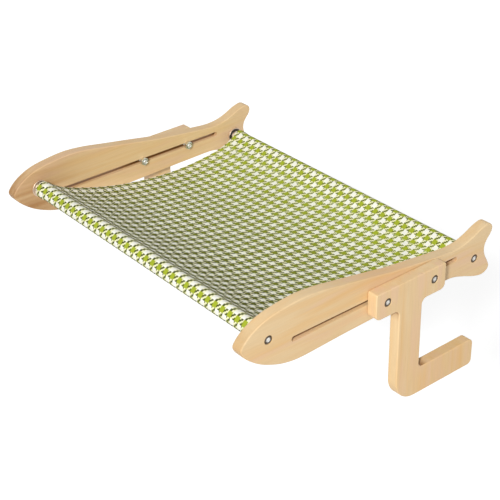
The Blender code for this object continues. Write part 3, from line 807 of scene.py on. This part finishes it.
def nutPoints():
    # Outside, the lesser of the hexagon and a cone from each face; inside, a threaded bore with eased mouths
    width, height, flat, mouth = pick(hardware, "nutWidth", "nutHeight", "nutFlat", "boreMouth")
    bore = hardware["shankRadius"] + hardware["boreRoom"]
    bevel = np.r_[0.0, 0.02, np.linspace(0.1, 1.0, 8)]
    outside = [(-x, width / 2) for x in np.r_[bevel, height - bevel[::-1]]]
    inside = [
        (-height, bore + mouth), (-height + mouth, bore),
        *((-x, bore) for x in np.arange(height - 0.6, 0.6, -0.125)), (-mouth, bore), (0.0, bore + mouth),
    ]
    profile = [(0.0, flat), *outside, (-height, flat), *inside]
    outer = np.zeros((len(profile), 1), bool)
    outer[1:len(outside) + 1] = True

    def radiusAt(x, radius, turns):
        fromFace = np.minimum(-x, x + height)
        cone = hardware["nutFace"] + fromFace / np.tan(radians(hardware["nutBevel"]))
        hexagon = np.minimum(hexRadius(turns, width), cone)
        thread = np.where((fromFace > 0.5) & ~outer, hardware["boreThread"] * threadWave(x, turns, 1.0), 0.0)
        return np.where(outer, hexagon, radius + thread)

    return turnedPoints(profile, 96, radiusAt), None


def plugPoints(paintedGapShadow):
    # A flange with a rounded rim and a shallow step round the tube, with a painted shadow in the step, then a
    # grooved stub inside
    rim, thick, length = pick(hardware, "flangeRadius", "flangeThickness", "plugLength")
    stub = hardware["tubeRadius"] - hardware["tubeWall"] - hardware["plugRoom"]
    back, edge, groove = -thick, thick / 2, stub - hardware["grooveDepth"]
    step = back - hardware["flangeStep"]
    profile = [
        (0.0, 3.6), (0.0, rim - edge),
        *((-edge + edge * cos(t), rim - edge + edge * sin(t)) for t in np.linspace(0, pi, 13)[1:-1]),
        (back, rim - edge), (back, 10.3), (back, 10.15), (back, 9.3),
        (step, 9.05), (step, stub + 0.4), (back - 0.2, stub),
    ]
    for x in back - np.arange(2.2, length - 1.0, hardware["grooveSpacing"]):
        profile += [(x, stub), (x - 0.3, groove), (x - 1.2, groove), (x - 1.5, stub)]
    profile += [(back - length, stub - 0.6), (back - length, 3.4)]
    place, radius = np.array(profile).T
    # The flange's back face inside the step carries the painted shadow
    return turnedPoints(profile, 128), np.where((place <= back) & (radius < 10.2), paintedGapShadow, 0.0)


def tubePoints():
    # A drawn tube with its ends deburred inside and out
    end, radius, wall, bevel = pick(hardware, "tubeEnd", "tubeRadius", "tubeWall", "tubeBevel")
    bore = radius - wall
    profile = [
        (-end, radius - bevel), *((x, radius) for x in np.linspace(-end + bevel, end - bevel, 25)),
        (end, radius - bevel), (end, bore + bevel), (end - bevel, bore),
        (-end + bevel, bore), (-end, bore + bevel),
    ]
    return turnedPoints(profile, 128), None


print("metal parts")
kinds = ("bolt", "nut", "plug", "tube")
metals = {kind: metalMaterial(kind + "_metal", **hardware[kind]) for kind in kinds}
inward, innerFace = hardware["underHead"], hardware["innerFace"]
for which, rod in zip(("front", "rear"), rods):
    turnedPiece(which + "_tube", "tube", tubePoints(), 0.0, rod, 1, "frame", "steel")
    for label, side in sides:
        node = f"{which}_{label}_"
        plug = plugPoints(hardware["paintedGapShadow"][which])
        bolt = boltPoints(hardware["rodBoltLength"])
        turnedPiece(node + "plug", "plug", plug, innerFace, rod, side, "frame")
        turnedPiece(node + "bolt", "bolt", bolt, perch["railOuter"] - inward, rod, side, "frame")
for label, side in sides:
    body = label + "_hook"
    for which, spot in zip(("front", "rear"), hookHoles):
        node = f"{body}_{which}_"
        bolt = boltPoints(hardware["hookBoltLength"])
        turnedPiece(node + "bolt", "bolt", bolt, perch["hookOuter"] - inward, spot, side, body)
        turnedPiece(node + "nut", "nut", nutPoints(), innerFace, spot, side, body, sharp=20.0)


# Hammock cloth

hammock = {
    "middleRadius": 8.9,  # of the cloth's middle round a tube's axis
    "sagPlaces": (0.04, 0.12, 0.28, 0.5, 0.72, 0.88, 0.96),  # shares of the way from the front tube on
    "sag": (7.8, 17.1, 28.6, 33.8, 30.4, 19.6, 9.6),  # how far the sheet hangs below its straight line there
    "crest": (1.6, -4.0, 7.0, 26.0),  # how far a sleeve stands off a tube's top, where, its fall either way
    "halfWidth": 216.0,
    "slide": (-0.4, 3.3),  # along the tubes, at the front and at the rear
    "thickness": 0.95,
    "sleeveOpen": 21.0,
    "sewnStrip": 8.0,
    "underLayer": 1.15,  # from the sheet's middle to the sewn strip's
    "hemWidth": 10.0,
    "hemLift": 0.9,
    "hemEase": 5.0,  # the width in which the lift fades
    "hemFold": 0.5,  # radius of the hem's bend
    "pathStep": 0.5,
    "pathSmoothing": (6, 2.5),  # reach and spread, in steps
    "seamMiddle": 24.0,  # where the sleeve's seams pucker the sheet most
    "puckerDepth": 0.22,
    "puckerReach": 9.0,
    "puckerWaves": (2.9, 17.0, 5.3),  # fine folds, how they sway, and broader ones
    "puckerEase": 14.0,  # from a side edge in
    "slackDepth": (0.8, 0.5),
    "slackWaves": ((31.0, 60.0, 47.0), (19.0, 85.0)),  # across, along and along again; across and along
    "slackEase": 30.0,  # from each tube's top
    "nearTube": 40.0,  # the sheet has smaller faces this near a tube
    "alongSteps": (1.4, 2.0, 4.0),  # in the sleeves, near the tubes and between them
    "checkSize": 13.05,  # eight threads
    "checkShift": -2.2,  # a green check's middle, across the cloth
    # Places along the hung cloth and how many checks have passed there: it has given most over the front tube
    "checkPlaces": (-91.3, -9.5, 3.0, 318.1, 422.5),
    "checksPassed": (-6.0, 0.27, 0.78, 24.0, 32.0),
    "paintedClothShade": (  # painted shade by place along the cloth: high in the hollow and under the sleeves
        (-24, 1.0), (-19, -0.7), (-8, -0.7), (-2, -0.4), (5, 1.0), (45, 1.0), (110, 0.75), (200, 0.45),
        (290, 0.0), (330, -0.4), (345, -0.4), (355, 1.0),
    ),
    "stitchLength": 2.6,
    "stitchGap": 0.9,
    "stitchRadius": 0.24,
    "stitchDip": 0.25,  # of its ends into the cloth
    "seamInset": 1.5,  # from a sewn strip's edges
    "hemStitches": 8.0,  # from a side edge
}


def clothPath():
    # The middle of the cloth as it runs from the front sleeve's sewn strip round the front tube, over to the
    # rear tube and round it to the other strip. The sheet hangs u (1 - u) p(u) below its straight line, where
    # p is the polynomial through the sag's places. A few rounds find where it leaves each tube as a tangent.
    front, rear = np.array(perch["frontRod"]), np.array(perch["rearRod"])
    radius, shares = hammock["middleRadius"], np.array(hammock["sagPlaces"])
    hang = np.polyfit(shares, np.array(hammock["sag"]) / (shares * (1 - shares)), len(shares) - 1)
    frontTurn = rearTurn = 0.3
    for _ in range(8):
        start = front + np.array([sin(frontTurn), cos(frontTurn)]) * radius
        end = rear + np.array([-sin(rearTurn), cos(rearTurn)]) * radius
        span, chord = end[0] - start[0], (end[1] - start[1]) / (end[0] - start[0])
        frontTurn = atan(np.polyval(hang, 0.0) / span - chord)
        rearTurn = atan(np.polyval(hang, 1.0) / span + chord)
    u = np.linspace(0, 1, 700)
    sheet = start + (end - start) * u[:, None]
    sheet[:, 1] -= u * (1 - u) * np.polyval(hang, u)
    run = runningLength(sheet)
    slope = np.gradient(sheet, run, axis=0)
    under = sheet - np.stack([-slope[:, 1], slope[:, 0]], -1) * hammock["underLayer"]

    def sleeve(rod, outward, line, lineRun, top):
        # From the sheet's end round the tube, straight to the strip's start and along the strip
        opening = hammock["sleeveOpen"]
        strip = line[(lineRun >= opening) & (lineRun <= opening + hammock["sewnStrip"])]
        away = strip[0] - rod
        half = np.arccos(radius / np.hypot(*away))
        bottom = atan2(away[1], away[0]) + outward * half
        first = atan2(top[1] - rod[1], top[0] - rod[0])
        sweep = (-outward * (bottom - first)) % (2 * pi) * -outward
        turns = first + sweep * np.linspace(0, 1, 60)
        ring = rod + radius * np.stack([np.cos(turns), np.sin(turns)], -1)
        straight = ring[-1] + (strip[0] - ring[-1]) * np.linspace(0, 1, 30)[1:-1, None]
        return np.concatenate([ring[1:], straight, strip])

    frontSleeve = sleeve(front, -1, under, run, sheet[0])
    rearSleeve = sleeve(rear, 1, under[::-1], run[-1] - run[::-1], sheet[-1])
    path = np.concatenate([frontSleeve[::-1], sheet, rearSleeve])
    length = runningLength(path)
    place = length - length[len(frontSleeve)]
    fine = np.arange(place[0], place[-1], hammock["pathStep"])
    fine[-1] = place[-1]
    smooth = np.stack([np.interp(fine, place, path[:, k]) for k in (0, 1)], -1)
    reach, width = hammock["pathSmoothing"]
    weights = np.exp(-0.5 * (np.arange(-reach, reach + 1) / width) ** 2)
    padded = np.pad(smooth, ((reach, reach), (0, 0)), "reflect", reflect_type="odd")
    smooth = np.stack([np.convolve(padded[:, k], weights / weights.sum(), "valid") for k in (0, 1)], -1)
    ahead = unit(np.gradient(smooth, fine, axis=0))
    normal = np.stack([-ahead[:, 1], ahead[:, 0]], -1)
    return fine, smooth, normal, run[-1], (start[0], end[0])


placeAlong, pathMiddle, pathNormal, sheetLength, sheetEnds = clothPath()


def clothPoint(across, along, layer):
    # Middle line at that place + normal * (layer + the hem's lift + puckers that fade from the seams + slack
    # waves + the crest over each tube), slid along the tubes so that the cloth hangs a little askew
    y, z, ny, nz = (np.interp(along, placeAlong, line) for line in (*pathMiddle.T, *pathNormal.T))
    fromEdge = hammock["halfWidth"] - np.abs(across)
    fromHem = np.clip((fromEdge - hammock["hemWidth"]) / hammock["hemEase"], 0, 1)
    lift = hammock["hemLift"] * (0.5 + 0.5 * np.cos(pi * fromHem))
    seam, ease = hammock["seamMiddle"], hammock["slackEase"]
    toSeam = np.minimum(np.abs(along - seam), np.abs(sheetLength - seam - along))
    fine, sway, wide = hammock["puckerWaves"]
    folds = np.sin(across / fine + 0.6 * np.sin(across / sway)) + 0.5 * np.sin(across / wide + 1)
    pucker = hammock["puckerDepth"] * np.exp(-toSeam / hammock["puckerReach"]) * folds
    broad, narrow = hammock["slackDepth"]
    (acrossBroad, alongBroad, beat), (acrossNarrow, alongNarrow) = hammock["slackWaves"]
    slack = np.clip(along / ease, 0, 1) * np.clip((sheetLength - along) / ease, 0, 1) * (
        broad * np.sin(across / acrossBroad + along / alongBroad + 0.8) * np.sin(along / beat)
        + narrow * np.sin(across / acrossNarrow - along / alongNarrow + 2.0)
    )
    high, middle, before, behind = hammock["crest"]
    fromCrest = np.minimum(along, sheetLength - along) - middle
    crest = high * np.exp(-(fromCrest / np.where(fromCrest < 0, before, behind)) ** 2)
    lift = layer + lift + pucker * np.clip(fromEdge / hammock["puckerEase"], 0, 1) + slack + crest
    slide = np.interp(y, sheetEnds, hammock["slide"])
    return np.stack([across + slide, y + ny * lift, z + nz * lift], -1)


def stretchedPlace(along):
    # Where a place on the hung cloth lay before it gave: checks passed * check size
    return np.interp(along, hammock["checkPlaces"], hammock["checksPassed"]) * hammock["checkSize"]


weave = {
    "green": (0.43, 0.50, 0.035),
    "greenDeep": (0.32, 0.385, 0.025),
    "tooth": (0.20, 0.24, 0.03),  # a green thread between white ones
    "paintedShadeGreen": (0.115, 0.125, 0.007),  # painted shade on the green checks where the mark is high
    # painted shade on the green teeth where the mark is high
    "paintedShadeTooth": (0.018, 0.020, 0.005),
    "white": (0.93, 0.925, 0.83),
    "whiteDeep": (0.87, 0.865, 0.76),
    "cream": (0.84, 0.83, 0.50),  # a white thread between green ones
    "paintedDipShade": 0.92,  # painted shade in the dips between threads
    "roughness": 0.85,
    "sheen": 0.05,
    "shine": 0.08,
}
sewing = {
    "pale": (0.80, 0.82, 0.72),
    "deep": (0.62, 0.66, 0.50),
    "roughness": 0.7,
}


def houndstoothMaterial(name):
    # Thread numbers i, j = floor(place / thread width). Four green and four white threads follow each other
    # both ways, and the across thread lies on top where (i - j) mod 4 < 2, as in a two-and-two twill. mark is
    # how much painted shade the sheet has, most in its hollow; below 0 only its green threads between white
    # ones are dark.
    material, tree, coordinates = surfaceMaterial(name)
    uv = addNode(tree, "UVMap", uv_map="surface").outputs[0]
    scale = 8 / (hammock["checkSize"] * mm)
    threads = addNode(tree, "Mapping", {"Vector": uv, "Scale": (scale, scale, 1.0)}).outputs[0]
    across, along, _ = addNode(tree, "SeparateXYZ", {0: threads}).outputs
    i, j = calc("FLOOR", across), calc("FLOOR", along)
    greenAcross, greenAlong = (calc("LESS_THAN", calc("FLOORED_MODULO", k, 8.0), 3.5) for k in (i, j))
    over = calc("LESS_THAN", calc("FLOORED_MODULO", minus(i, j), 4.0), 1.5)
    isGreen = mixValues(over, greenAlong, greenAcross)
    mark = markOf(tree)
    fuzz = noise(threads, 5.0, 3.0, 0.6)
    block = mixColours(spread(fuzz, 0.3, 0.7), weave["green"], weave["greenDeep"])
    block = mixColours(mark, block, weave["paintedShadeGreen"])
    tooth = mixColours(calc("ABSOLUTE", mark), weave["tooth"], weave["paintedShadeTooth"])
    green = mixColours(times(greenAcross, greenAlong), tooth, block)
    white = mixColours(spread(fuzz, 0.35, 0.8), weave["white"], weave["whiteDeep"])
    white = mixColours(minus(1.0, calc("MAXIMUM", greenAcross, greenAlong)), weave["cream"], white)
    colour = mixColours(isGreen, white, green)
    # Each thread's top is round: its height goes from 0 at its sides to 0.5 at its middle, and its colour
    # gets painted shade towards its sides
    crown = mixValues(over, calc("PINGPONG", along, 0.5), calc("PINGPONG", across, 0.5))
    colour = mixColours(1.0, colour, spread(crown, 0.0, 0.22, weave["paintedDipShade"], 1.0, True), "MULTIPLY")
    wash = noise(coordinates["Object"], 30.0, 2.0)
    colour = mixColours(1.0, colour, spread(wash, 0.35, 0.65, 0.96, 1.02), "MULTIPLY")
    height = plus(spread(crown, 0.0, 0.5, 0.0, 1.0, True), times(fuzz, 0.3))
    finishSurface(tree, colour, (height, 0.6, 0.0003), {
        "Roughness": weave["roughness"], "Specular IOR Level": weave["shine"],
        "Sheen Weight": weave["sheen"], "Sheen Roughness": 0.5,
    })
    return material


def threadMaterial(name):
    # Twisted thread: fine light and deep bands over each stitch
    material, tree, coordinates = surfaceMaterial(name)
    twist = noise(coordinates["Object"], 2500.0, 2.0)
    colour = mixColours(twist, sewing["pale"], sewing["deep"])
    finishSurface(tree, colour, (twist, 0.4, 0.0001), {"Roughness": sewing["roughness"]})
    return material


def clothPiece():
    # The cross section (hem folded under, sheet, other hem) carried along the path, then both sides of it
    half, hem, thick, fold = pick(hammock, "halfWidth", "hemWidth", "thickness", "hemFold")
    turns = np.linspace(-pi / 2, pi / 2, 7)[1:-1]
    inner = np.linspace(half - hem, half - fold, 5)
    bend = half - fold + fold * np.cos(turns)
    turnIn = half - hem - 6
    edge = np.concatenate([np.linspace(half - fold, turnIn, 12), np.linspace(turnIn, 0, 36)[1:]])
    # One half of the section: its place across, its layer, and its place on the cloth laid flat
    across = np.concatenate([inner, bend, edge])
    layer = np.concatenate([0 * inner - 2 * fold, -fold + fold * np.sin(turns), 0 * edge])
    flat = np.concatenate([half + (half - inner), half + 0 * bend, edge])
    across, flat = (np.concatenate([-line, line[::-1][1:]]) for line in (across, flat))
    layer = np.concatenate([layer, layer[::-1][1:]])
    near, (inSleeve, nearTube, between) = hammock["nearTube"], hammock["alongSteps"]
    stops = (placeAlong[0], 0, near, sheetLength - near, sheetLength, placeAlong[-1])
    runs = zip(stops, stops[1:], (inSleeve, nearTube, between, nearTube, inSleeve))
    along = np.concatenate([*(np.arange(*run) for run in runs), [placeAlong[-1]]])
    middle = clothPoint(across[:, None], along[None, :], layer[:, None])
    out = unit(np.cross(np.gradient(middle, axis=0), np.gradient(middle, axis=1))) * thick / 2
    rows, columns = middle.shape[:2]
    points = np.concatenate([(middle + out).reshape(-1, 3), (middle - out).reshape(-1, 3)])
    count = rows * columns
    top = gridQuads(rows, columns, closeColumns=False)
    grid = np.arange(count).reshape(rows, columns)
    border = np.concatenate([grid[0, :-1], grid[:-1, -1], grid[-1, :0:-1], grid[:0:-1, 0]])
    following = np.roll(border, -1)
    walls = np.stack([following, border, border + count, following + count], -1)
    quarter = hammock["checkSize"] / 4  # from a green check's middle to its first thread's side
    u, v = flat[:, None] - hammock["checkShift"] + quarter, stretchedPlace(along)[None, :] + quarter
    uv = np.stack(np.broadcast_arrays(u, v), -1).reshape(-1, 2) * mm
    # The mark paints shade into the sheet's hollow and under the sleeves
    paintedClothShade = np.interp(along, *np.transpose(hammock["paintedClothShade"]))
    piece = makePiece(
        "hammock_sheet", points, [top, top[:, ::-1] + count, walls], "frame",
        houndstoothMaterial("houndstooth"), ("hammock_cloth",), uv=np.tile(uv, (2, 1)),
        marks=np.tile(paintedClothShade, 2 * rows), sharp=60.0,
    )
    return piece, placeAlong[-1] - placeAlong[0]


def stitchingPiece():
    # Small rounded stitches in rows: two across each sleeve's strip and one along each hem, above and below
    length, radius, dip, half = pick(hammock, "stitchLength", "stitchRadius", "stitchDip", "halfWidth")
    step = length + hammock["stitchGap"]
    first = hammock["sleeveOpen"] + hammock["seamInset"]
    second = first + hammock["sewnStrip"] - 2 * hammock["seamInset"]
    above = hammock["thickness"] / 2 + radius * 0.35
    levels = ((1, above, above), (-1, -above - hammock["underLayer"], -above - 2 * hammock["hemFold"]))
    acrossPlaces = np.arange(-half + 4, half - 4, step)[:, None]
    alongPlaces = np.arange(-2.0, sheetLength + 2, step)[:, None]
    # Each row holds (across, along, goes across, goes along, level, which way is out)
    rows = []
    for out, seamLevel, hemLevel in levels:
        for seam in (first, second, sheetLength - first, sheetLength - second):
            rows.append(np.hstack([acrossPlaces, 0 * acrossPlaces + (seam, 1, 0, seamLevel, out)]))
        for across in (hammock["hemStitches"] - half, half - hammock["hemStitches"]):
            hemRow = [0 * alongPlaces + across, alongPlaces, 0 * alongPlaces + (0, 1, hemLevel, out)]
            rows.append(np.hstack(hemRow))
    across, along, goesAcross, goesAlong, level, out = np.concatenate(rows).T
    centre = clothPoint(across, along, level)
    ahead = unit(clothPoint(across + goesAcross * 0.5, along + goesAlong * 0.5, level) - centre)
    up = unit(clothPoint(across, along, level + 0.5 * out) - centre)
    # One stitch is a ring grid: length / 2 * place along, radius * sqrt(1 - place^4), arched down at its ends
    t = np.array([-0.98, -0.75, -0.3, 0.3, 0.75, 0.98])[:, None]
    turns = 2 * pi * np.arange(6)[None, :] / 6
    thick = radius * np.sqrt(1 - t**4)
    ring = (length / 2 * t, thick * np.cos(turns), thick * np.sin(turns) - dip * t**2)
    local = np.stack(np.broadcast_arrays(*ring), -1).reshape(-1, 3)
    local = np.concatenate([local, [[-length / 2, 0, -dip], [length / 2, 0, -dip]]])
    faces = [gridQuads(len(t), turns.size), np.concatenate(endFans(len(t), turns.size))]
    frames = np.stack([ahead, np.cross(up, ahead), up], 1)
    points = centre[:, None, :] + np.einsum("pk,nkd->npd", local, frames)
    shift = (np.arange(len(centre)) * len(local))[:, None, None]
    return makePiece(
        "hammock_stitching", points.reshape(-1, 3),
        [(block[None] + shift).reshape(-1, block.shape[1]) for block in faces], "frame",
        threadMaterial("sewing_thread"),
    )


print("hammock cloth")
sheet, clothLength = clothPiece()
stitching = stitchingPiece()


# Floor, light and camera

studio = {  # in metres and degrees, the lens in millimetres
    "floorHeight": -0.75,
    "floorHalf": 9.0,
    "floorColour": 0.70,
    "floorGlow": (0.60, 0.78),  # under the perch and far off, seen by the camera and by reflections only
    "glowReach": (1.2, 2.6),  # where on the floor the glow starts to grow and where it is full
    "ambient": 0.48,
    "keyFrom": (0.53, -0.68, 0.51),  # direction of the softbox from the perch
    "keyDistance": 3.5,
    "keySize": 0.3,
    "keyPower": 97.0,
    "cameraTarget": (0.0, -0.0508, -0.0265),
    "cameraDistance": 1.6675,
    "azimuth": 51.294,
    "elevation": 30.462,
    "roll": -1.269,
    "lens": 94.17,
}


def seenRay(tree):
    # 1 for a ray from the camera or by a mirror or clear surface, 0 for one that only brings light
    rays = addNode(tree, "LightPath").outputs
    mirrored = calc("MAXIMUM", rays["Is Glossy Ray"], rays["Is Transmission Ray"])
    return calc("MAXIMUM", rays["Is Camera Ray"], mirrored)


def floorPiece():
    # A white square under the perch, with a glow that grows from its middle
    half, height, grey = studio["floorHalf"], studio["floorHeight"], studio["floorColour"]
    mesh = bpy.data.meshes.new("floor")
    corners = [(-half, -half, height), (half, -half, height), (half, half, height), (-half, half, height)]
    mesh.from_pydata(corners, [], [(0, 1, 2, 3)])
    material, tree, coordinates = surfaceMaterial("floor_white")
    tree.nodes.remove(tree.nodes["Principled BSDF"])
    diffuse = addNode(tree, "BsdfDiffuse", {"Color": opaque((grey, grey, grey))})
    fromMiddle = addNode(tree, "VectorMath", {0: coordinates["Object"]}, operation="LENGTH").outputs["Value"]
    glow = spread(fromMiddle, *studio["glowReach"], *studio["floorGlow"], True)
    glow = addNode(tree, "Emission", {"Strength": times(seenRay(tree), glow)})
    both = addNode(tree, "AddShader", {0: diffuse.outputs[0], 1: glow.outputs[0]})
    setInputs(tree, tree.nodes["Material Output"], {"Surface": both.outputs[0]})
    mesh.materials.append(material)
    floor = bpy.data.objects.new("floor", mesh)
    bpy.context.scene.collection.objects.link(floor)


def studioLight():
    # A white room, dimmer as a light than as it is seen, and one softbox that faces the perch
    world = bpy.data.worlds.new("studio")
    bpy.context.scene.world = world
    world.use_nodes = True
    tree = world.node_tree
    tree.nodes.clear()
    strength = spread(seenRay(tree), 0.0, 1.0, studio["ambient"], 1.0)
    background = addNode(tree, "Background", {"Color": (1.0, 1.0, 1.0, 1.0), "Strength": strength})
    addNode(tree, "OutputWorld", {"Surface": background.outputs[0]})
    lamp = bpy.data.lights.new("softbox", "AREA")
    lamp.shape = "SQUARE"
    lamp.size = studio["keySize"]
    lamp.energy = studio["keyPower"]
    softbox = bpy.data.objects.new("softbox", lamp)
    away = Vector(studio["keyFrom"]).normalized()
    softbox.location = away * studio["keyDistance"]
    softbox.rotation_euler = away.to_track_quat("Z", "Y").to_euler()
    bpy.context.scene.collection.objects.link(softbox)


def photoCamera():
    # back = (sin a cos e, -cos a cos e, sin e): the camera stands that way from its target, rolled about it
    turn, rise, roll = map(radians, pick(studio, "azimuth", "elevation", "roll"))
    back = Vector((sin(turn) * cos(rise), -cos(turn) * cos(rise), sin(rise)))
    right = Vector((cos(turn), sin(turn), 0.0))
    up = back.cross(right)
    rolledRight = right * cos(roll) + up * sin(roll)
    rolledUp = up * cos(roll) - right * sin(roll)
    lens = bpy.data.cameras.new("camera")
    lens.lens = studio["lens"]
    lens.sensor_width = 36.0
    lens.clip_start, lens.clip_end = 0.05, 60.0
    camera = bpy.data.objects.new("camera", lens)
    place = Vector(studio["cameraTarget"]) + back * studio["cameraDistance"]
    axes = Matrix((rolledRight, rolledUp, back)).transposed().to_4x4()
    camera.matrix_world = Matrix.Translation(place) @ axes
    bpy.context.scene.collection.objects.link(camera)
    bpy.context.scene.camera = camera


print("floor, light and camera")
floorPiece()
studioLight()
photoCamera()
bpy.context.scene.view_settings.view_transform = "Standard"

print("done")
